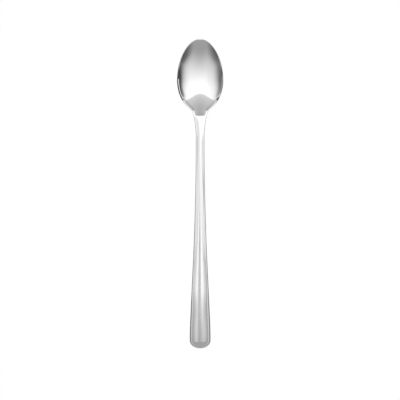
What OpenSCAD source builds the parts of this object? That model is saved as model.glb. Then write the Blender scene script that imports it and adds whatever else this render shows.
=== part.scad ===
// Iced tea spoon: one piece of stamped and coined stainless steel.
// It lies on a table with the bowl open upwards. The bowl's tip points along +Y and the
// handle's end along -Y. The origin is on the table, under the middle of the spoon.
// The sections are square to Y. In the functions s is the distance of a section from the
// bowl's tip, seen from above, and "middle" means the hollow of the bowl or the crowned
// top of the neck and the handle, inside the rim or the border.

/* [Overall] */
// Length seen from above, from the bowl's tip to the handle's end
overall_length = 190; // [178:1:203]

/* [Bowl outline] */
// Width across the widest part of the bowl
bowl_width = 28.3; // [24:0.1:32]
// Distance from the tip to the widest part
tip_to_widest = 25.3; // [21:0.1:30]
// Distance from the widest part to where the oval outline would close behind it
widest_to_heel = 19.7; // [17:0.1:24]
// Roundness of the outline ahead of the widest part, where 2 makes half an ellipse
tip_power = 1.92; // [1.8:0.02:2.3]
// Width of the rim at the tip
rim_land_tip = 0.35; // [0.3:0.05:1.2]
// Width of the rim at the widest part
rim_land_side = 0.95; // [0.6:0.05:2]
// Width of the rim at the heel
rim_land_heel = 0.4; // [0.35:0.05:1.5]
// Length, near the heel, over which the rim turns from sloping outwards to level
rim_turn = 5; // [3:0.5:8]
// Width of the small flat that closes the outline at the very tip
tip_flat = 1.5; // [0.8:0.1:2.5]

/* [Bowl depth] */
// Depth of the hollow below the rim at the widest part
bowl_depth = 7.2; // [5:0.1:9.5]
// Thickness of the bowl's bottom
bowl_wall = 1.1; // [0.8:0.05:1.8]
// Height of the rim's outer edge below its slope
rim_edge = 0.6; // [0.45:0.05:1]
// Distance that the hollow runs on behind the closed oval, as a tongue into the neck
hollow_tongue = 2.4; // [1:0.1:4]
// Distance that the outside of the bowl runs on behind the closed oval
belly_tongue = 3.5; // [2:0.1:5]
// How much higher the rim stands at the heel than at the tip
rim_rise = 3.2; // [1:0.1:5]
// Width of the rim's rounded edges
rim_round = 0.2; // [0.1:0.02:0.26]

/* [Neck] */
// Width of the neck at its narrowest
neck_width = 5.1; // [4:0.05:7]
// Distance from the tip at which the neck starts to spread into the handle
tip_to_neck = 59; // [52:1:80]
// Extra width on each side where the neck leaves the bowl
neck_flare = 3; // [2:0.1:4.5]
// Length over which that extra width dies out
flare_length = 19.5; // [14:0.5:26]
// Distance that the flare starts ahead of the closed oval
flare_overlap = 2.9; // [2:0.1:5]
// Thickness of the neck at its edge
neck_edge = 1.7; // [1.2:0.05:2.4]
// Rise of the neck's top from its edge to its middle
neck_crown = 0.85; // [0.4:0.05:1.2]
// Depth of the neck's underside below the rim at the heel
heel_depth = 2.3; // [1.8:0.1:3.2]
// Rise of the top across the neck where the hollow ends
heel_crown = 0.45; // [0.1:0.05:0.8]
// Width between the hollow and the outline where the hollow ends
heel_border = 0.4; // [0.35:0.05:2]
// Width of the fillet in the outline where the neck meets the bowl
heel_fillet = 2; // [0.5:0.1:3]
// Height of the fillet under the spoon where the neck meets the bowl
back_fillet = 2; // [0.5:0.1:3]

/* [Handle] */
// Width of the handle at its widest, near the end
end_width = 12.8; // [9:0.1:16]
// Length of the rounded end
end_round = 5; // [4:0.1:8]
// Width of the small flat that closes the outline at the handle's end
end_flat = 1.6; // [0.8:0.1:2.5]
// Thickness of the handle at the edge of its end
end_edge = 1.15; // [1.05:0.05:1.8]
// Rise of the handle's top from its border to its middle near the end
end_crown = 0.75; // [0.3:0.05:1.2]
// Bulge of the handle's back between its edges
back_crown = 0.15; // [0.05:0.05:0.4]
// Width of the rounded edge along the neck and the handle
edge_round = 0.4; // [0.2:0.05:0.5]
// Width of the rounded edge round the handle's end
end_edge_round = 0.6; // [0.3:0.05:0.65]
// Width between the crowned middle and the outline along the neck and the handle
shaft_border = 0.7; // [0.6:0.05:0.9]
// Width between the crowned middle and the outline round the end
end_border = 1.4; // [1:0.05:2]
// Distance from the end at which that border reaches its full width
border_full = 20; // [12:1:28]
// Distance from the end at which that border starts to widen
border_start = 38; // [32:1:60]

/* [Side view] */
// Length behind the widest part over which the rim stays straight
rim_straight = 10.7; // [5:0.1:15]
// Length over which the rim then curves up into the neck
neck_sweep = 22; // [16:0.5:30]
// Upward slope of the neck where it leaves that curve, in degrees
neck_angle = 11.3; // [6:0.1:15]
// Downward slope of the handle at its end, in degrees
end_angle = 14; // [8:0.1:18]
// How far the bowl is let down onto the table, which wears off what would reach below it
belly_wear = 0.04; // [0.02:0.01:0.1]
// Depth of the flat on the underside of the handle's end where the spoon lies on it
end_wear = 0.3; // [0.15:0.01:0.4]

/* [Hidden] */

// Number of steps between sections: tip to widest, to the hollow's end, along the shaft, round the end
tip_steps = 14;
heel_steps = 16;
shaft_steps = 38;
end_steps = 8;
// How strongly the sections crowd together at the hollow's end, ahead of it and behind it
heel_crowding = 1.6;
shaft_crowding = 1.25;

// Places across half of the middle and half of the back
middle_shares = [0, 0.16, 0.31, 0.46, 0.6, 0.73, 0.84, 0.93, 1];
back_shares = [1, 0.8, 0.6, 0.4, 0.2, 0];
// Least parts of the outline's width that the middle and the land keep at the tip and at the end
least_middle_share = 0.5;
least_land_share = 0.8;
// Fall of a rounded edge as a part of its width
edge_fall_share = 0.8;
// Fall of the rim towards its outer edge as a part of its width, which keeps it square to the wall
rim_fall_share = 0.75;
// Part of the way from the tip to the widest part at which the rim starts to grow wider
rim_grow_share = 0.35;
// Power by which the rim shrinks from there to the heel
rim_shrink_power = 3;
// How much straighter than a parabola the hollow's wall rises to the rim
wall_share = 0.16;
// Parts of the handle's length over which its sides start and stop spreading
spread_in_share = 0.63;
spread_out_share = 0.09;
// Power by which the neck's flare dies out
flare_power = 2.36;

bowl_half = bowl_width / 2;
end_half = end_width / 2;
heel_at = tip_to_widest + widest_to_heel;
hollow_end = heel_at + hollow_tongue;
flare_start = heel_at - flare_overlap;
flare_end = flare_start + flare_length;
end_at = overall_length - end_round;
sweep_start = tip_to_widest + rim_straight;
sweep_end = sweep_start + neck_sweep;

// Half length of an oval that is cut off, at this distance from its middle, to a flat of this width
function cut_oval(reach, flat, width, power) = reach / pow(1 - pow(flat / width, power), 1 / power);
tip_oval = cut_oval(tip_to_widest, tip_flat, bowl_width, tip_power);
end_oval = cut_oval(end_round, end_flat, end_width, 2);

function mix(a, b, t) = a + (b - a) * t;
function clamped(t) = min(1, max(0, t));
// Part of the way from one place to another, starting and stopping gently
function eased(from, to, s) = let (t = clamped((s - from) / (to - from))) t * t * (3 - 2 * t);
// Larger of two sizes, with the corner where they change over rounded
function blend_max(a, b, round) = max(a, b) + pow(max(0, round - abs(a - b)), 2) / (4 * round);
// What is left, from 1 to 0, of a parabola's height at u from its middle
function parabola(half_length, u) = max(0, 1 - pow(u / half_length, 2));
// Half width, at u from its middle, of an oval whose sides follow this power
function oval(half_width, half_length, u, power = 2) =
    half_width * pow(max(0, 1 - pow(abs(u) / half_length, power)), 1 / power);
// A size that has one value along the bowl, one along the shaft and one round the handle's end
function zoned(bowl, shaft, end, s) =
    mix(bowl, shaft, eased(heel_at, flare_end, s))
    + (end - shaft) * eased(overall_length - border_start, overall_length - border_full, s);

// Outline, seen from above

// Part of the handle's spread that is done at t, from 0 at the neck to 1 at the widest part
function spread(t) =
    let (speed = 2 / (2 - spread_in_share - spread_out_share))
    t < spread_in_share ? speed * t * t / (2 * spread_in_share)
    : t < 1 - spread_out_share ? speed * (t - spread_in_share / 2)
    : 1 - speed * pow(1 - t, 2) / (2 * spread_out_share);

function flare(s) = neck_flare * pow(1 - clamped((s - flare_start) / flare_length), flare_power);

function shaft_half(s) =
    mix(neck_width, end_width, spread(clamped((s - tip_to_neck) / (end_at - tip_to_neck)))) / 2 + flare(s);

function outline_half(s) =
    s < tip_to_widest ? oval(bowl_half, tip_oval, s - tip_to_widest, tip_power)
    : s < end_at ? blend_max(oval(bowl_half, widest_to_heel, s - tip_to_widest), shaft_half(s), heel_fillet)
    : oval(end_half, end_oval, s - end_at);

function border(s) = zoned(heel_border, shaft_border, end_border, s);
function round_at(s) = zoned(rim_round, edge_round, end_edge_round, s);

// Width of the rim beside the hollow, which grows from the tip to the widest part and shrinks to the heel
function rim_land(s) =
    mix(rim_land_tip, rim_land_side, eased(rim_grow_share * tip_to_widest, tip_to_widest, s))
    + (rim_land_heel - rim_land_side) * pow(clamped((s - tip_to_widest) / widest_to_heel), rim_shrink_power);

// Half width of the hollow or the crowned top
function middle_half(s) =
    let (u = s - tip_to_widest, side = bowl_half - rim_land_side)
    s < tip_to_widest
        ? max(oval(bowl_half - rim_land(s), tip_oval - rim_land_tip, u, tip_power),
              least_middle_share * outline_half(s))
    : s < end_at
        ? blend_max(oval(side, widest_to_heel - rim_land_heel, u), shaft_half(s) - border(s), heel_fillet)
    : max(oval(end_half - end_border, end_oval - end_border, s - end_at),
          least_middle_share * outline_half(s));

// Half width of the rim's or border's outer side, where its rounded edge starts
function land_half(s) =
    let (round = round_at(s))
    s < tip_to_widest
        ? max(oval(bowl_half - round, tip_oval - round, s - tip_to_widest, tip_power),
              least_land_share * outline_half(s))
    : s < end_at ? outline_half(s) - round
    : max(oval(end_half - round, end_oval - round, s - end_at), least_land_share * outline_half(s));

// Side view

rim_slope = rim_rise / heel_at;
neck_slope = tan(neck_angle);
end_slope = -tan(end_angle);
rim_height = rim_edge + rim_fall_share * rim_land_side;
belly_height = bowl_depth + bowl_wall - rim_height;
// The rim's height brings the lowest point of the tilted bowl down to the table
rim_middle_z = bowl_depth + bowl_wall + pow(rim_slope * tip_oval, 2) / (4 * belly_height) - belly_wear;

function rim_line(s) = rim_middle_z + rim_slope * (s - tip_to_widest);

function sweep_line(s) =
    rim_line(s) + (neck_slope - rim_slope) * pow(s - sweep_start, 2) / (2 * neck_sweep);

// Arch of the handle, with t from 0 at the end of the neck's curve to 1 at the handle's end
function arch_line(t) =
    let (length = overall_length - sweep_end)
    pow(1 - t, 2) * ((1 + 2 * t) * sweep_line(sweep_end) + t * length * neck_slope)
    + t * t * ((3 - 2 * t) * (end_edge - end_wear) + (t - 1) * length * end_slope);

// Height of the rim, or of the edge of the neck's and the handle's top
function edge_z(s) =
    s < sweep_start ? rim_line(s)
    : s < sweep_end ? sweep_line(s)
    : arch_line((s - sweep_end) / (overall_length - sweep_end));

// Height of the edge itself, from the back to the top
function edge_height(s) =
    mix(rim_edge, neck_edge, eased(sweep_start, flare_end, s)) + rim_fall(s)
    + (end_edge - neck_edge) * eased(flare_end, end_at, s);

function edge_fall(s) = edge_fall_share * round_at(s);

// Fall of the rim from its inner to its outer side
function rim_fall(s) =
    rim_fall_share * rim_land(s) * (1 - eased(sweep_start, sweep_start + rim_turn, s));
// How far the rim's inner side is lowered where it runs out at the tip
function tip_run_out(s) = rim_fall(s) * (1 - clamped(s / rim_land_tip));

// Fall of the rounded edge at this distance from the tip or from the handle's end
function fall_at(distance, s) =
    distance < round_at(s) ? edge_fall(s) * (1 - sqrt(1 - pow(1 - distance / round_at(s), 2))) : 0;
function tip_and_end_fall(s) = fall_at(s, s) + fall_at(overall_length - s, s);

// Rise of the middle above its edge, which is negative in the hollow
function hollow_rise(s) =
    s < tip_to_widest ? -bowl_depth * parabola(tip_oval - rim_land_tip, s - tip_to_widest)
    : heel_crown - (bowl_depth + heel_crown) * parabola(hollow_end - tip_to_widest, s - tip_to_widest);
function crown_rise(s) =
    (mix(heel_crown, neck_crown, eased(hollow_end, flare_end, s))
     + (end_crown - neck_crown) * eased(flare_end, end_at, s))
    * parabola(end_oval - end_border, max(0, s - end_at));
function middle_rise(s) = s < hollow_end ? hollow_rise(s) : crown_rise(s);
// What is left of that rise at this part of the way from the middle to its edge
function profile(u, s) =
    (1 - u * u) * (1 - wall_share * u * u * clamped(-middle_rise(s) / bowl_depth));

// Depth of the back's middle below its edge: the outside of the bowl, running into the neck's keel
function belly_bulge(s) =
    s < tip_to_widest ? belly_height * parabola(tip_oval, s - tip_to_widest)
    : belly_height * (1 - pow((s - tip_to_widest) / (widest_to_heel + belly_tongue), 2));
function keel_bulge(s) = mix(heel_depth - edge_height(s), back_crown, eased(hollow_end, flare_end, s));
function back_bulge(s) =
    s < tip_to_widest ? belly_bulge(s)
    : blend_max(belly_bulge(s) + rim_height - edge_height(s), keel_bulge(s), back_fillet);

// The table has worn off what would reach below it
function worn(z) = max(0, z);

// Right half of a section as [x, z], from the middle of the top round the edge to the middle of the back
function half_section(s) =
    let (
        half = outline_half(s), land = land_half(s), fall = edge_fall(s), inset = tip_and_end_fall(s),
        top = edge_z(s), outer = top - rim_fall(s), back = top - edge_height(s)
    )
    concat(
        [for (u = middle_shares)
            [u * middle_half(s), top - inset - tip_run_out(s) + middle_rise(s) * profile(u, s)]],
        [[land, outer - inset], [half, outer - fall], [half, worn(back + fall)]],
        [for (u = back_shares) [u * land, worn(back + inset - back_bulge(s) * (1 - u * u))]]
    );

// Whole section as a ring of points
function section(s) =
    let (right = half_section(s), last = len(right) - 1, y = overall_length / 2 - s)
    concat(
        [for (p = right) [p[0], y, p[1]]],
        [for (i = [last - 1:-1:1]) [-right[i][0], y, right[i][1]]]
    );

sections = concat(
    [for (i = [0:tip_steps - 1]) tip_to_widest * (1 - cos(90 * i / tip_steps))],
    [for (i = [0:heel_steps - 1])
        mix(hollow_end, tip_to_widest, pow(1 - i / heel_steps, heel_crowding))],
    [for (i = [0:shaft_steps - 1]) mix(hollow_end, end_at, pow(i / shaft_steps, shaft_crowding))],
    [for (i = [0:end_steps]) end_at + end_round * sin(90 * i / end_steps)]
);

// Point in the middle of the flat that closes the first or the last ring
function cap_point(s) = [0, overall_length / 2 - s, edge_z(s) - (edge_height(s) + rim_fall(s)) / 2];

module spoon() {
    ring = len(section(0));
    last_ring = len(sections) - 1;
    half_ring = ring / 2;
    caps = ring * len(sections);
    points = concat(
        [for (s = sections) each section(s)],
        [cap_point(0), cap_point(overall_length)]
    );
    walls = [for (k = [0:last_ring - 1], j = [0:ring - 1])
        let (a = k * ring + j, b = k * ring + (j + 1) % ring, c = a + ring, d = b + ring)
        each j < half_ring ? [[a, b, d], [a, d, c]] : [[a, b, c], [b, d, c]]];
    tip_cap = [for (j = [0:ring - 1]) [caps, (j + 1) % ring, j]];
    end_cap = [for (j = [0:ring - 1]) [caps + 1, last_ring * ring + j, last_ring * ring + (j + 1) % ring]];
    color("silver")
        polyhedron(points = points, faces = concat(walls, tip_cap, end_cap), convexity = 4);
}

spoon();
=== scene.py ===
import bpy
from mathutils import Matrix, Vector


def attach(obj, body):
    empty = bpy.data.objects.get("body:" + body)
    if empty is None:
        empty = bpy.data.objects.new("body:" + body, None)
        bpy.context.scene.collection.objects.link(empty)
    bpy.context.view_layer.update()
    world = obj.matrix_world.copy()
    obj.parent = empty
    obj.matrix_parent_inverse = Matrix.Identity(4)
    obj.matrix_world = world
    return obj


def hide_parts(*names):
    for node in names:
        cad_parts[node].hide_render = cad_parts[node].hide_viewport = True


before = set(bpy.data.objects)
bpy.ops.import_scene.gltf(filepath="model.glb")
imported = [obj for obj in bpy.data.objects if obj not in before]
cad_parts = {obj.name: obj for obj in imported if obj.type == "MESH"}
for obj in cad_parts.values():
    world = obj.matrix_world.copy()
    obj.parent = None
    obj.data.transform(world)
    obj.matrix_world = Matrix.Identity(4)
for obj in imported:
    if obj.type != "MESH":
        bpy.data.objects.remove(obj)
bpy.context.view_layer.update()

bl_info = {
    "name": "Iced Tea Spoon",
    "version": (1, 0, 0),
    "blender": (4, 5, 0),
    "location": "View3D > Sidebar > Spoon",
    "description": "Finishes the stamped steel spoon and sets it on a pale table under soft light",
    "category": "Object",
}

SPOON_NODE = "spoon"

# Every section of the blank has the same places round it, counted from the middle of its top. The
# crest parts the hollow from the rim along the bowl, and the crown from the border behind the heel.
# Lengths are in metres here and below.
CREST_PLACE = 8
BEVEL_PLACE = 9
EDGE_PLACES = (10, 11)
HEEL = 0.049
EDGE_LAYER = "blanked_edge"
MERGE_DISTANCE = 0.000001
SECTION_GAP = 0.000003
RING_NEIGHBOURS = 6


# ---- Finish of the steel and the table ----

# Where each finish starts and where it is full: brushed and held along Y, and worn on the belly, up Z
# and along Y. The blanked edge is half rougher and half darker on the bowl and fully so behind its span.
# Its darker colour is partly a duller tumble finish and partly painted shade, standing in for the dark
# reflections along the spoon's outline.
BRUSHED_SPAN = (0.046, 0.030)
HELD_SPAN = (-0.045, -0.088)
BELLY_HEIGHT = (0.0022, 0.0002)
BELLY_SPAN = (0.050, 0.060)
EDGE_FINISH_AND_SHADE_SPAN = (0.052, 0.040, 0.5, 1.0)

# Grains to a metre, along X, Y and Z
BRUSHING = (5200, 70, 5200)
BUFFING = (900, 900, 900)
SMEARS = (75, 48, 75)
SCRATCHES = (2600, 240, 2600)
TABLE_GRAIN = (60, 60, 60)

# How far each finish changes the roughness, and a scratch's depth, where the brush depth is 1
GRAIN_ROUGHNESS = 0.05
SMEAR_ROUGHNESS = 0.05
HELD_ROUGHNESS = 0.05
SCRATCH_ROUGHNESS = 0.22
EDGE_ROUGHNESS = 0.15
SCRATCH_DEPTH = 1.5

# Where the noise shows as scratches and as smears, how far smears dull the colour, and how far hands do
SCRATCHED = (0.45, 0.65)
SMEARED = (0.45, 0.75, 0, 0.4)
HELD_DULLING = 0.5

# The table's roughness follows its grain, and its top lies a hair under the spoon
TABLE_ROUGHNESS = (0.3, 0.7, 0.85, 0.95)
TABLE_DROP = -0.0001

# Painted shade for reflections: the table glows grey for glossy rays beside the spoon and darker out to
# this reach, which the steel shows as dark reflections.
SPOON_HALF_WIDTH = 0.014
SPOON_HALF_LENGTH = 0.095
PAINTED_SHADE_REACH = 0.11
PAINTED_SHADE_LEVELS = (0.72, 0.1)

# The camera sees the table's own light at this strength and share, and the rest keeps the shadow, so
# that together they show white
TABLE_SHOWN = 1.02
SHOWN_SHARE = 0.95


# ---- Light ----

DOME_SEGMENTS = 48
DOME_RINGS = 24

# Brightness of the light dome from the handle's side (-1) to the bowl's side (1), where 1.3 shows the
# steel white and a grey screen starts at 0.66, and the share of it that is left towards the table, by
# height, on the left and on the right. The height counts for more ahead and for less behind, and the
# side span says how far aside that share sets in.
DOME_LEVELS = [
    (-1, 0.485), (-0.8, 0.455), (-0.6, 0.43), (-0.5, 0.43), (-0.4, 0.505), (-0.3, 0.625), (-0.2, 0.75),
    (-0.1, 0.865), (0, 0.985), (0.1, 1.11), (0.2, 1.23), (0.3, 1.33), (0.45, 1.42), (0.655, 1.42),
    (0.66, 0.87), (0.73, 0.79), (0.81, 0.69), (0.87, 0.63), (1, 0.5),
]
LEFT_HORIZON = [
    (0, 0.06), (0.1, 0.1), (0.17, 0.2), (0.2, 0.22), (0.25, 0.25), (0.3, 0.45), (0.4, 0.69), (0.5, 0.8),
    (0.6, 0.81), (1, 0.81),
]
RIGHT_HORIZON = [
    (0, 0.05), (0.1, 0.1), (0.15, 0.13), (0.2, 0.14), (0.25, 0.26), (0.3, 0.52), (0.4, 0.8), (0.5, 0.9),
    (0.6, 0.98), (0.8, 1), (1, 1),
]
LIFT_AHEAD = 0.46
LIFT_BEHIND = 1.01
SIDE_SPAN = (0.5, 1.0)

# A low band on each side: its upper edge, which drops ahead, how far aside it starts, and how many
# times brighter or darker it is than the dome, as (Y behind, Y ahead, times behind, times ahead)
BAND_HEIGHT = (0.225, 0.15)
BAND_DROP_AHEAD = 0.17
BAND_SIDE = (0.79, 0.87)
LEFT_BAND = (-0.15, 0.08, 1.5, 0.65)
RIGHT_BAND = (-0.15, 0.08, 2.5, 0.25)

# A lit sill at the foot of the right band: its upper edge, its inner edge, its end ahead, and its
# brightness, as (Y ahead, Y behind, level ahead, level behind)
SILL_HEIGHT = (0.11, 0.06)
SILL_SIDE = (0.88, 0.94)
SILL_AHEAD = (0.3, 0.22)
SILL_LEVELS = (-0.08, -0.2, 0.42, 0.95)

# Light of the air in the room, where it only lights things and where it is seen
AIR_LEVELS = (0.8, 1.0)

# Brightness of the strip cards: along the handle, then across it before and after the place where
# that profile changes, which the two turns give
RIGHT_STRIP = (
    [
        (-0.150, 0.59), (-0.129, 0.67), (-0.113, 0.84), (-0.104, 0.97), (-0.095, 1.12), (-0.085, 1.3),
        (0.020, 1.3),
    ],
    [(0.004, 1), (0.016, 1), (0.026, 0.7), (0.040, 0.6)],
    [(0.004, 0.98), (0.010, 1), (0.017, 1.15), (0.022, 1.16), (0.027, 1.08), (0.032, 0.97), (0.040, 0.85)],
)
LEFT_STRIP = (
    [(-0.150, 0.59), (-0.129, 0.67), (-0.113, 0.82), (-0.095, 1.0), (-0.085, 1.25), (0.0, 1.2), (0.020, 1.1)],
    [(-0.050, 0.62), (-0.030, 0.72), (-0.022, 1), (-0.0115, 1)],
    [
        (-0.050, 0.65), (-0.035, 0.8), (-0.029, 1.02), (-0.024, 1.24), (-0.0185, 1.25), (-0.014, 1.14),
        (-0.0115, 1.1),
    ],
)
MIDDLE_STRIP = (
    [(-0.150, 0.42), (-0.133, 0.5), (-0.113, 0.58), (-0.104, 0.66), (-0.095, 0.68), (-0.050, 0.69)],
    [(-0.0115, 1), (0.004, 1)],
    [(-0.0115, 1), (0.004, 1)],
)
LEFT_NECK_STRIP = (
    [(-0.005, 1.02), (0.055, 1.02)],
    [(-0.070, 0.95), (-0.006, 1)],
    [(-0.070, 0.95), (-0.006, 1)],
)
LEFT_SIDE_STRIP = (
    [(-0.050, 0.75), (-0.035, 1.0), (-0.005, 1.05)],
    [(-0.070, 0.9), (-0.020, 1)],
    [(-0.070, 0.9), (-0.020, 1)],
)
RIGHT_NECK_STRIP = (
    [(-0.050, 0.75), (-0.035, 1.05), (-0.015, 1.15), (0.0, 1.3), (0.045, 1.3)],
    [(0.012, 1), (0.021, 0.95), (0.028, 0.9), (0.036, 0.8), (0.043, 0.3), (0.070, 0.25)],
    [(0.012, 0.9), (0.045, 0.85), (0.070, 0.8)],
)
STRIP_TURN = (-0.100, -0.125)
NECK_TURN = (0.012, 0.030)
STRIP_HEIGHT = 0.060
NECK_HEIGHT = 0.035
STRIPS = (
    ("right_strip", STRIP_HEIGHT, RIGHT_STRIP, STRIP_TURN),
    ("left_strip", STRIP_HEIGHT, LEFT_STRIP, STRIP_TURN),
    ("middle_strip", STRIP_HEIGHT, MIDDLE_STRIP, STRIP_TURN),
    ("left_neck_strip", NECK_HEIGHT, LEFT_NECK_STRIP, NECK_TURN),
    ("left_side_strip", NECK_HEIGHT, LEFT_SIDE_STRIP, NECK_TURN),
    ("right_neck_strip", NECK_HEIGHT, RIGHT_NECK_STRIP, NECK_TURN),
)

# The camera hangs over this point of the table, so that the spoon stands in the frame as photographed
CAMERA_X = -0.00009
CAMERA_Y = -0.0035
SENSOR_WIDTH = 36
CLIP_NEAR = 0.01
CLIP_FAR = 20


# ---- Settings ----

class SpoonSettings(bpy.types.PropertyGroup):
    smoothing: bpy.props.IntProperty(
        name="Smoothing", description="Subdivision levels that round the blank's facets",
        default=2, min=1, max=2,
    )
    border_crispness: bpy.props.FloatProperty(
        name="Border crispness", description="How sharply the crowned handle meets its flat border",
        default=0.55, min=0, max=1, subtype="FACTOR",
    )
    rim_crispness: bpy.props.FloatProperty(
        name="Rim crispness", description="How sharply the hollow meets the bowl's rim",
        default=1.0, min=0, max=1, subtype="FACTOR",
    )
    bevel_crispness: bpy.props.FloatProperty(
        name="Bevel crispness", description="How sharply the neck's border meets its bevelled edge",
        default=0.9, min=0, max=1, subtype="FACTOR",
    )
    bevel_from: bpy.props.FloatProperty(
        name="Bevel from", description="Where along the handle that bevel starts to show as a line",
        default=-0.035, min=-0.095, max=0.04, unit="LENGTH",
    )
    wear_from: bpy.props.FloatProperty(
        name="Wear from", description="Where the left rim's crest starts to be worn round by use",
        default=0.058, min=0, max=0.1, unit="LENGTH",
    )
    wear_to: bpy.props.FloatProperty(
        name="Wear to", description="Where the left rim's crest stops being worn round",
        default=0.0715, min=0, max=0.1, unit="LENGTH",
    )
    edge_crispness: bpy.props.FloatProperty(
        name="Edge crispness", description="How sharply the rounded edge turns down all round the spoon",
        default=0.6, min=0, max=1, subtype="FACTOR",
    )
    steel_color: bpy.props.FloatVectorProperty(
        name="Steel", description="Colour of the polished steel", subtype="COLOR", size=3,
        default=(0.77, 0.77, 0.775), min=0, max=1,
    )
    handled_color: bpy.props.FloatVectorProperty(
        name="Handled steel", description="Colour of the steel where fingers have dulled it", subtype="COLOR",
        size=3, default=(0.72, 0.72, 0.722), min=0, max=1,
    )
    # The edge's darker colour is partly a duller tumble finish and partly painted shade, standing in for the
    # dark reflections along the outline.
    dull_and_shaded_edge_color: bpy.props.FloatVectorProperty(
        name="Edge steel", description="Colour of the blanked edge, which is tumbled and never buffed",
        subtype="COLOR", size=3, default=(0.4, 0.4, 0.405), min=0, max=1,
    )
    bowl_roughness: bpy.props.FloatProperty(
        name="Bowl roughness", description="Roughness of the buffed bowl", default=0.07, min=0, max=1,
        subtype="FACTOR",
    )
    handle_roughness: bpy.props.FloatProperty(
        name="Handle roughness", description="Roughness of the handle, which is brushed along its length",
        default=0.13, min=0, max=1, subtype="FACTOR",
    )
    brush_depth: bpy.props.FloatProperty(
        name="Brush depth", description="Depth of the polishing lines", default=0.0000016, min=0, max=0.0001,
        unit="LENGTH", precision=7,
    )


class StudioSettings(bpy.types.PropertyGroup):
    lens: bpy.props.FloatProperty(
        name="Lens", description="Focal length of the camera above the table", default=100, min=20, max=300,
        unit="CAMERA",
    )
    camera_height: bpy.props.FloatProperty(
        name="Camera height", description="Height of the camera above the table",
        default=0.6857, min=0.2, max=3, unit="LENGTH",
    )
    floor_size: bpy.props.FloatProperty(
        name="Table size", description="Width and depth of the pale table top", default=8, min=1, max=20,
        unit="LENGTH",
    )
    floor_color: bpy.props.FloatVectorProperty(
        name="Table", description="Colour of the table top", subtype="COLOR", size=3,
        default=(0.86, 0.86, 0.86), min=0, max=1,
    )
    dome_radius: bpy.props.FloatProperty(
        name="Dome radius", description="Radius of the light dome round the table", default=4, min=1, max=10,
        unit="LENGTH",
    )
    light_level: bpy.props.FloatProperty(
        name="Light level", description="Brightness of the dome and the strip cards, as a share of their own",
        default=1, min=0, max=3,
    )


# ---- Selecting and shaping ----

def object_mode():
    if bpy.context.object is not None and bpy.context.object.mode != "OBJECT":
        bpy.ops.object.mode_set(mode="OBJECT")


def deselect():
    object_mode()
    bpy.ops.object.select_all(action="DESELECT")


def only(piece):
    """Select this object and nothing else."""
    deselect()
    bpy.context.view_layer.objects.active = piece
    piece.select_set(True)


def edit(piece, kind):
    """Open the piece in edit mode with nothing of this kind selected."""
    only(piece)
    bpy.ops.object.mode_set(mode="EDIT")
    bpy.ops.mesh.select_mode(type=kind)
    bpy.ops.mesh.select_all(action="DESELECT")


def pick_edges(piece, wanted):
    """Leave the piece in edit mode with only the edges selected whose two vertices pass the test."""
    edit(piece, "EDGE")
    bpy.ops.object.mode_set(mode="OBJECT")
    chosen = [bool(wanted(*edge.vertices)) for edge in piece.data.edges]
    piece.data.edges.foreach_set("select", chosen)
    bpy.ops.object.mode_set(mode="EDIT")


def crisp_edges(piece, wanted, crease=0.0, sharp=False):
    """Crease the edges that pass the test, and break the smooth shading across them if it is sharp."""
    pick_edges(piece, wanted)
    if crease:
        bpy.ops.transform.edge_crease(value=crease)
    if sharp:
        bpy.ops.mesh.mark_sharp()
    object_mode()


def same(a, b, tolerance=MERGE_DISTANCE):
    return abs(a - b) < tolerance


class Rings:
    """The blank's sections: which ring each vertex lies on and its place round that ring,
    counted from the middle of the top towards +X."""

    def __init__(self, mesh):
        at = [v.co.copy() for v in mesh.vertices]
        rows = []
        for key in sorted({round(p.y, 6) for p in at}, reverse=True):
            if not rows or not same(rows[-1], key, SECTION_GAP):
                rows.append(key)
        self.ring = [min(range(len(rows)), key=lambda k: abs(rows[k] - p.y)) for p in at]
        beside = [[] for _ in at]
        for edge in mesh.edges:
            a, b = edge.vertices
            if self.ring[a] == self.ring[b]:
                beside[a].append(b)
                beside[b].append(a)
        # A flat end is a fan round one vertex in its middle, which has no place on the ring
        hubs = {i for i, near in enumerate(beside) if len(near) > RING_NEIGHBOURS}
        self.place = [None] * len(at)
        for k in range(len(rows)):
            members = [i for i in range(len(at)) if self.ring[i] == k and i not in hubs]
            middle = [i for i in members if same(at[i].x, 0)]
            here = max(middle, key=lambda i: at[i].z)
            self.place[here] = 0
            behind, count = None, 0
            while True:
                ways = [i for i in beside[here] if i != behind and i not in hubs]
                step = max(ways, key=lambda i: at[i].x) if behind is None else ways[0]
                if self.place[step] is not None:
                    break
                count += 1
                self.place[step] = count
                behind, here = here, step
            if count + 1 != len(members):
                raise RuntimeError("section %d of the blank isn't one closed ring" % k)
        self.around = len(members)

    def crosses(self, a, b):
        """True for the diagonal of a cell between two sections."""
        return self.ring[a] != self.ring[b] and self.place[a] != self.place[b]

    def runs_along(self, place, a, b):
        """True for a lengthwise edge at this place, or at the place opposite it."""
        return self.ring[a] != self.ring[b] and self.place[a] == self.place[b] and \
            self.place[a] in (place, self.around - place)


# ---- Materials ----

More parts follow.
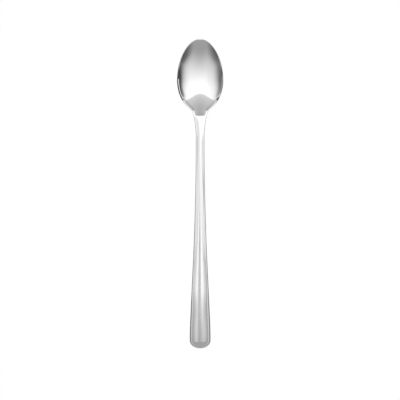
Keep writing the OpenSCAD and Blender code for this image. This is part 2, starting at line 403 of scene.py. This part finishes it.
class Shader:
    """Small helper that lays out a node tree from left to right."""

    def __init__(self, tree):
        self.tree = tree
        self.tree.nodes.clear()
        self.column = 0

    def node(self, kind, inputs=None, **settings):
        made = self.tree.nodes.new(kind)
        made.location = (self.column * 220, 0)
        self.column += 1
        for key, value in settings.items():
            setattr(made, key, value)
        for key, value in (inputs or {}).items():
            if isinstance(value, bpy.types.NodeSocket):
                self.tree.links.new(value, made.inputs[key])
            else:
                made.inputs[key].default_value = value
        return made

    def math(self, operation, a, b=0.0, clamp=False):
        return self.node("ShaderNodeMath", {0: a, 1: b}, operation=operation, use_clamp=clamp).outputs[0]

    def times(self, a, b):
        return self.math("MULTIPLY", a, b)

    def plus(self, a, b, clamp=False):
        return self.math("ADD", a, b, clamp)

    def span(self, value, low, high, to_low=0.0, to_high=1.0, kind="SMOOTHSTEP"):
        """Part of the way from low to high, rising gently."""
        return self.node(
            "ShaderNodeMapRange", {0: value, 1: low, 2: high, 3: to_low, 4: to_high}, interpolation_type=kind
        ).outputs[0]

    def mix(self, share, a, b):
        return self.node("ShaderNodeMix", {0: share, 2: a, 3: b}, data_type="FLOAT").outputs[0]

    def mix_color(self, share, a, b):
        return self.node("ShaderNodeMix", {0: share, 6: a, 7: b}, data_type="RGBA").outputs[2]

    def ramp(self, value, low, high, stops):
        """A brightness that changes along a length: stops are (place, brightness)."""
        share = self.span(value, low, high, kind="LINEAR")
        made = self.node("ShaderNodeValToRGB", {0: share})
        made.color_ramp.interpolation = "LINEAR"
        elements = made.color_ramp.elements
        while len(elements) > 1:
            elements.remove(elements[0])
        top = max(level for _, level in stops)
        elements[0].position = (stops[0][0] - low) / (high - low)
        for i, (place, level) in enumerate(stops):
            element = elements[0] if i == 0 else elements.new((place - low) / (high - low))
            element.color = (level / top, level / top, level / top, 1)
        return self.times(made.outputs[0], top)

    def noise(self, where, scale, detail=3.0, roughness=0.55):
        """Noise drawn out along an axis: scale is how many grains there are to a metre, each way."""
        mapped = self.node("ShaderNodeMapping", {"Vector": where, "Scale": scale}).outputs[0]
        return self.node(
            "ShaderNodeTexNoise", {"Vector": mapped, "Scale": 1.0, "Detail": detail, "Roughness": roughness}
        ).outputs[0]

    def place(self):
        """Where a point lies on the object, and its X, Y and Z."""
        where = self.node("ShaderNodeTexCoord").outputs["Object"]
        return (where, *self.node("ShaderNodeSeparateXYZ", {0: where}).outputs)

    def seen(self, path):
        """1 for what the camera sees, also in metal and through glass, and 0 for what only lights."""
        direct = self.math("MAXIMUM", path["Is Camera Ray"], path["Is Glossy Ray"])
        return self.math("MAXIMUM", direct, path["Is Transmission Ray"])

    def glow(self, strength):
        return self.node("ShaderNodeEmission", {"Color": (1, 1, 1, 1), "Strength": strength}).outputs[0]

    def finish(self, surface):
        self.node("ShaderNodeOutputMaterial", {0: surface})


def new_material(name):
    material = bpy.data.materials.new(name)
    material.use_nodes = True
    return material, Shader(material.node_tree)


def polished_steel(settings):
    """Buffed stainless steel: mirror bright in the bowl, drawn lengthwise along the handle, with
    fine wear where the spoon lies on tables and where it is held, and a rougher edge whose darker colour
    is partly a duller tumble finish and partly painted shade for the dark reflections along the outline."""
    material, s = new_material("Polished stainless steel")
    where, _, y, z = s.place()

    handle = s.span(y, *BRUSHED_SPAN)
    held = s.span(y, *HELD_SPAN)
    belly = s.times(s.span(z, *BELLY_HEIGHT), s.span(y, *BELLY_SPAN))

    brushing = s.noise(where, BRUSHING, detail=4)
    buffing = s.noise(where, BUFFING, detail=6, roughness=0.7)
    smears = s.noise(where, SMEARS, detail=2)
    scratches = s.noise(where, SCRATCHES, detail=5, roughness=0.8)

    grain = s.mix(handle, buffing, brushing)
    rough = s.span(handle, 0, 1, settings.bowl_roughness, settings.handle_roughness, "LINEAR")
    rough = s.plus(rough, s.times(s.math("SUBTRACT", grain, 0.5), GRAIN_ROUGHNESS))
    rough = s.plus(rough, s.times(s.math("SUBTRACT", smears, 0.5), SMEAR_ROUGHNESS))
    rough = s.plus(rough, s.times(held, HELD_ROUGHNESS))
    worn = s.times(belly, s.span(scratches, *SCRATCHED))
    rough = s.plus(rough, s.times(worn, SCRATCH_ROUGHNESS), clamp=True)

    dulled = s.plus(s.times(held, HELD_DULLING), s.span(smears, *SMEARED), clamp=True)
    color = s.mix_color(dulled, (*settings.steel_color, 1), (*settings.handled_color, 1))

    tumbled_and_shaded = s.node("ShaderNodeAttribute", attribute_name=EDGE_LAYER).outputs["Fac"]
    tumbled_and_shaded = s.times(tumbled_and_shaded, s.span(y, *EDGE_FINISH_AND_SHADE_SPAN))
    rough = s.plus(rough, s.times(tumbled_and_shaded, EDGE_ROUGHNESS), clamp=True)
    # Painted shade as well as a duller finish: the edge's colour darkens towards the edge steel, standing in
    # for the dark reflections along the outline.
    color = s.mix_color(tumbled_and_shaded, color, (*settings.dull_and_shaded_edge_color, 1))

    height = s.plus(grain, s.times(worn, SCRATCH_DEPTH))
    bump = s.node("ShaderNodeBump", {"Strength": 1.0, "Distance": settings.brush_depth, "Height": height})
    steel = s.node(
        "ShaderNodeBsdfPrincipled",
        {"Base Color": color, "Metallic": 1.0, "Roughness": rough, "Normal": bump.outputs[0]},
    )
    s.finish(steel.outputs[0])
    return material


def pale_table(settings):
    """White laminate that shows white behind the spoon and keeps a faint shadow, and that glows with painted
    shade in what the steel reflects, grey beside the spoon and darker further out."""
    material, s = new_material("Pale table")
    where, x, y, _ = s.place()
    rough = s.span(s.noise(where, TABLE_GRAIN, detail=2), *TABLE_ROUGHNESS, "LINEAR")
    board = s.node(
        "ShaderNodeBsdfPrincipled",
        {"Base Color": (*settings.floor_color, 1), "Roughness": rough, "Specular IOR Level": 0.1},
    )
    beside = s.math("SUBTRACT", s.math("ABSOLUTE", x), SPOON_HALF_WIDTH)
    beyond = s.math("SUBTRACT", s.math("ABSOLUTE", y), SPOON_HALF_LENGTH)
    # Painted shade seen only by glossy rays: a glow that is grey beside the spoon and darker further out
    reflected_painted_shade = s.span(s.math("MAXIMUM", beside, beyond), 0.0, PAINTED_SHADE_REACH, *PAINTED_SHADE_LEVELS)
    path = s.node("ShaderNodeLightPath").outputs
    glow = s.glow(s.mix(path["Is Glossy Ray"], TABLE_SHOWN, reflected_painted_shade))
    shown = s.times(s.seen(path), SHOWN_SHARE)
    s.finish(s.node("ShaderNodeMixShader", {0: shown, 1: board.outputs[0], 2: glow}).outputs[0])
    return material


def dome_light(settings):
    """The studio round the table: bright over the bowl, greyer behind the handle and on the screen
    beyond the bowl, darker towards the table at the sides, with a low band on each side and a lit
    sill at the foot of the right one."""
    material, s = new_material("Light dome")
    where = s.node("ShaderNodeTexCoord").outputs["Object"]
    aim = s.node("ShaderNodeVectorMath", {0: where}, operation="NORMALIZE").outputs[0]
    x, y, z = s.node("ShaderNodeSeparateXYZ", {0: aim}).outputs
    aside = s.math("ABSOLUTE", x)
    on_right = s.math("GREATER_THAN", x, 0.0)
    to_bowl = s.math("MAXIMUM", y, 0.0)
    to_handle = s.math("MINIMUM", y, 0.0)

    height = s.plus(z, s.plus(s.times(to_bowl, LIFT_AHEAD), s.times(to_handle, LIFT_BEHIND)))
    horizon = s.mix(on_right, s.ramp(height, 0, 1, LEFT_HORIZON), s.ramp(height, 0, 1, RIGHT_HORIZON))
    strength = s.times(s.ramp(y, -1, 1, DOME_LEVELS), s.mix(s.span(aside, *SIDE_SPAN), 1.0, horizon))

    rise = s.plus(z, s.times(to_bowl, BAND_DROP_AHEAD))
    band = s.times(s.span(rise, *BAND_HEIGHT), s.span(aside, *BAND_SIDE))
    factor = s.mix(on_right, s.span(y, *LEFT_BAND), s.span(y, *RIGHT_BAND))
    strength = s.times(strength, s.mix(band, 1.0, factor))

    sill = s.times(s.span(z, *SILL_HEIGHT), s.span(x, *SILL_SIDE))
    sill = s.times(sill, s.span(y, *SILL_AHEAD))
    strength = s.mix(sill, strength, s.span(y, *SILL_LEVELS))
    s.finish(s.glow(s.times(strength, settings.light_level)))
    return material


def diffuser(name, level, along, across, other_across, turn):
    """A card of soft light whose brightness changes along Y and across it, in another way past the
    turn."""
    material, s = new_material(name)
    _, x, y, _ = s.place()
    low, high = across[0][0], across[-1][0]
    profile = s.mix(s.span(y, *turn), s.ramp(x, low, high, across), s.ramp(x, low, high, other_across))
    strength = s.times(s.ramp(y, along[0][0], along[-1][0], along), profile)
    s.finish(s.glow(s.times(strength, level)))
    return material


# ---- Stage pieces ----

def sheet(name, left, right, low, high, height, material):
    """A level card between these limits in X and Y."""
    deselect()
    bpy.ops.mesh.primitive_plane_add(size=2, location=(0, 0, 0))
    card = bpy.context.object
    card.name = name
    for vertex in card.data.vertices:
        vertex.co = Vector((right if vertex.co.x > 0 else left, high if vertex.co.y > 0 else low, height))
    card.data.materials.append(material)
    return card


# ---- Operators ----

class SPOON_OT_form_spoon(bpy.types.Operator):
    """Round the stamped blank into one smooth piece of steel"""

    bl_idname = "spoon.form_spoon"
    bl_label = "Form the Spoon"
    bl_options = {"REGISTER", "UNDO"}

    def execute(self, context):
        settings = context.scene.spoon_settings
        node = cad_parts[SPOON_NODE]
        spoon = bpy.data.objects.new("steel_spoon", node.data.copy())
        spoon.data.name = "steel_spoon"
        spoon.data.materials.clear()
        context.scene.collection.objects.link(spoon)

        edit(spoon, "VERT")
        bpy.ops.mesh.select_all(action="SELECT")
        bpy.ops.mesh.remove_doubles(threshold=MERGE_DISTANCE)
        bpy.ops.mesh.customdata_custom_splitnormals_clear()
        object_mode()

        rings = Rings(spoon.data)
        pick_edges(spoon, rings.crosses)
        bpy.ops.mesh.dissolve_edges(use_verts=False, use_face_split=False)
        object_mode()

        at = [v.co.copy() for v in spoon.data.vertices]
        worn = [p.x < 0 and settings.wear_from < p.y < settings.wear_to for p in at]

        def on_crest(a, b):
            return rings.runs_along(CREST_PLACE, a, b) and at[a].y > HEEL

        def on_crisp_crest(a, b):
            return on_crest(a, b) and not (worn[a] and worn[b])

        def on_border(a, b):
            return rings.runs_along(CREST_PLACE, a, b) and at[a].y <= HEEL

        def on_bevel(a, b):
            return rings.runs_along(BEVEL_PLACE, a, b) and settings.bevel_from < at[a].y < HEEL

        def on_edge(a, b):
            return rings.runs_along(EDGE_PLACES[0], a, b)

        crisp_edges(spoon, on_crest, settings.rim_crispness)
        crisp_edges(spoon, on_crisp_crest, sharp=True)
        crisp_edges(spoon, on_border, settings.border_crispness, sharp=True)
        crisp_edges(spoon, on_bevel, settings.bevel_crispness)
        crisp_edges(spoon, on_edge, settings.edge_crispness)

        # The edge places carry the mask for the edge's rougher finish and for its painted shade, a darker
        # colour.
        tumbled_and_shaded = {place for k in EDGE_PLACES for place in (k, rings.around - k)}
        layer = spoon.data.attributes.new(EDGE_LAYER, "FLOAT", "POINT")
        layer.data.foreach_set("value", [1.0 if place in tumbled_and_shaded else 0.0 for place in rings.place])

        only(spoon)
        rounding = spoon.modifiers.new("Rounding", "SUBSURF")
        rounding.levels = rounding.render_levels = settings.smoothing
        rounding.boundary_smooth = "ALL"
        bpy.ops.object.modifier_apply(modifier=rounding.name)
        bpy.ops.object.shade_smooth(keep_sharp_edges=True)
        spoon.data.materials.append(polished_steel(settings))

        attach(spoon, "root")
        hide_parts(SPOON_NODE)
        return {"FINISHED"}


class STUDIO_OT_set_stage(bpy.types.Operator):
    """Lay the pale table, hang the diffusers and place the camera straight above the spoon"""

    bl_idname = "studio.set_stage"
    bl_label = "Set the Stage"
    bl_options = {"REGISTER", "UNDO"}

    def hang_dome(self, settings):
        """The dome that lights the table from all round, which the camera doesn't see."""
        deselect()
        bpy.ops.mesh.primitive_uv_sphere_add(
            segments=DOME_SEGMENTS, ring_count=DOME_RINGS, radius=settings.dome_radius,
        )
        dome = bpy.context.object
        dome.name = "light_dome"
        dome.visible_camera = False
        bpy.ops.object.shade_smooth()
        dome.data.materials.append(dome_light(settings))

    def hang_strip(self, settings, name, height, levels, turn):
        """A soft strip card at this height, as large as its levels say, that only reflections show."""
        along, across, other_across = levels
        strip = sheet(
            name, across[0][0], across[-1][0], along[0][0], along[-1][0], height,
            diffuser(name, settings.light_level, along, across, other_across, turn),
        )
        strip.visible_camera = False
        strip.visible_diffuse = False
        strip.visible_shadow = False
        strip.visible_transmission = False

    def fill_air(self, context):
        """Pale air behind everything, which shows white and lights a little less."""
        world = bpy.data.worlds.new("Studio")
        world.use_nodes = True
        s = Shader(world.node_tree)
        strength = s.span(s.seen(s.node("ShaderNodeLightPath").outputs), 0, 1, *AIR_LEVELS, "LINEAR")
        air = s.node("ShaderNodeBackground", {"Color": (1, 1, 1, 1), "Strength": strength})
        s.node("ShaderNodeOutputWorld", {0: air.outputs[0]})
        context.scene.world = world

    def hang_camera(self, context, settings):
        """The camera, looking straight down."""
        deselect()
        bpy.ops.object.camera_add(location=(CAMERA_X, CAMERA_Y, settings.camera_height), rotation=(0, 0, 0))
        camera = context.object
        camera.name = "camera"
        camera.data.lens = settings.lens
        camera.data.sensor_width = SENSOR_WIDTH
        camera.data.clip_start = CLIP_NEAR
        camera.data.clip_end = CLIP_FAR
        context.scene.camera = camera

    def execute(self, context):
        settings = context.scene.studio_settings
        half = settings.floor_size / 2
        sheet("table_top", -half, half, -half, half, TABLE_DROP, pale_table(settings))
        self.hang_dome(settings)
        for strip in STRIPS:
            self.hang_strip(settings, *strip)
        self.fill_air(context)
        self.hang_camera(context, settings)
        context.scene.view_settings.view_transform = "Standard"
        return {"FINISHED"}


class VIEW3D_PT_iced_tea_spoon(bpy.types.Panel):
    """Lists the steps that finish the spoon and set the stage"""

    bl_idname = "VIEW3D_PT_iced_tea_spoon"
    bl_label = "Iced Tea Spoon"
    bl_space_type = "VIEW_3D"
    bl_region_type = "UI"
    bl_category = "Spoon"

    def draw(self, context):
        for settings, step in (
            (context.scene.spoon_settings, SPOON_OT_form_spoon),
            (context.scene.studio_settings, STUDIO_OT_set_stage),
        ):
            box = self.layout.box()
            for name in settings.bl_rna.properties.keys():
                if name not in ("rna_type", "name"):
                    box.prop(settings, name)
            box.operator(step.bl_idname)


CLASSES = (
    SpoonSettings,
    StudioSettings,
    SPOON_OT_form_spoon,
    STUDIO_OT_set_stage,
    VIEW3D_PT_iced_tea_spoon,
)


def register():
    for cls in CLASSES:
        bpy.utils.register_class(cls)
    bpy.types.Scene.spoon_settings = bpy.props.PointerProperty(type=SpoonSettings)
    bpy.types.Scene.studio_settings = bpy.props.PointerProperty(type=StudioSettings)


def unregister():
    del bpy.types.Scene.studio_settings
    del bpy.types.Scene.spoon_settings
    for cls in reversed(CLASSES):
        bpy.utils.unregister_class(cls)


def main():
    register()
    bpy.ops.spoon.form_spoon()
    bpy.ops.studio.set_stage()


if __name__ == "__main__":
    main()
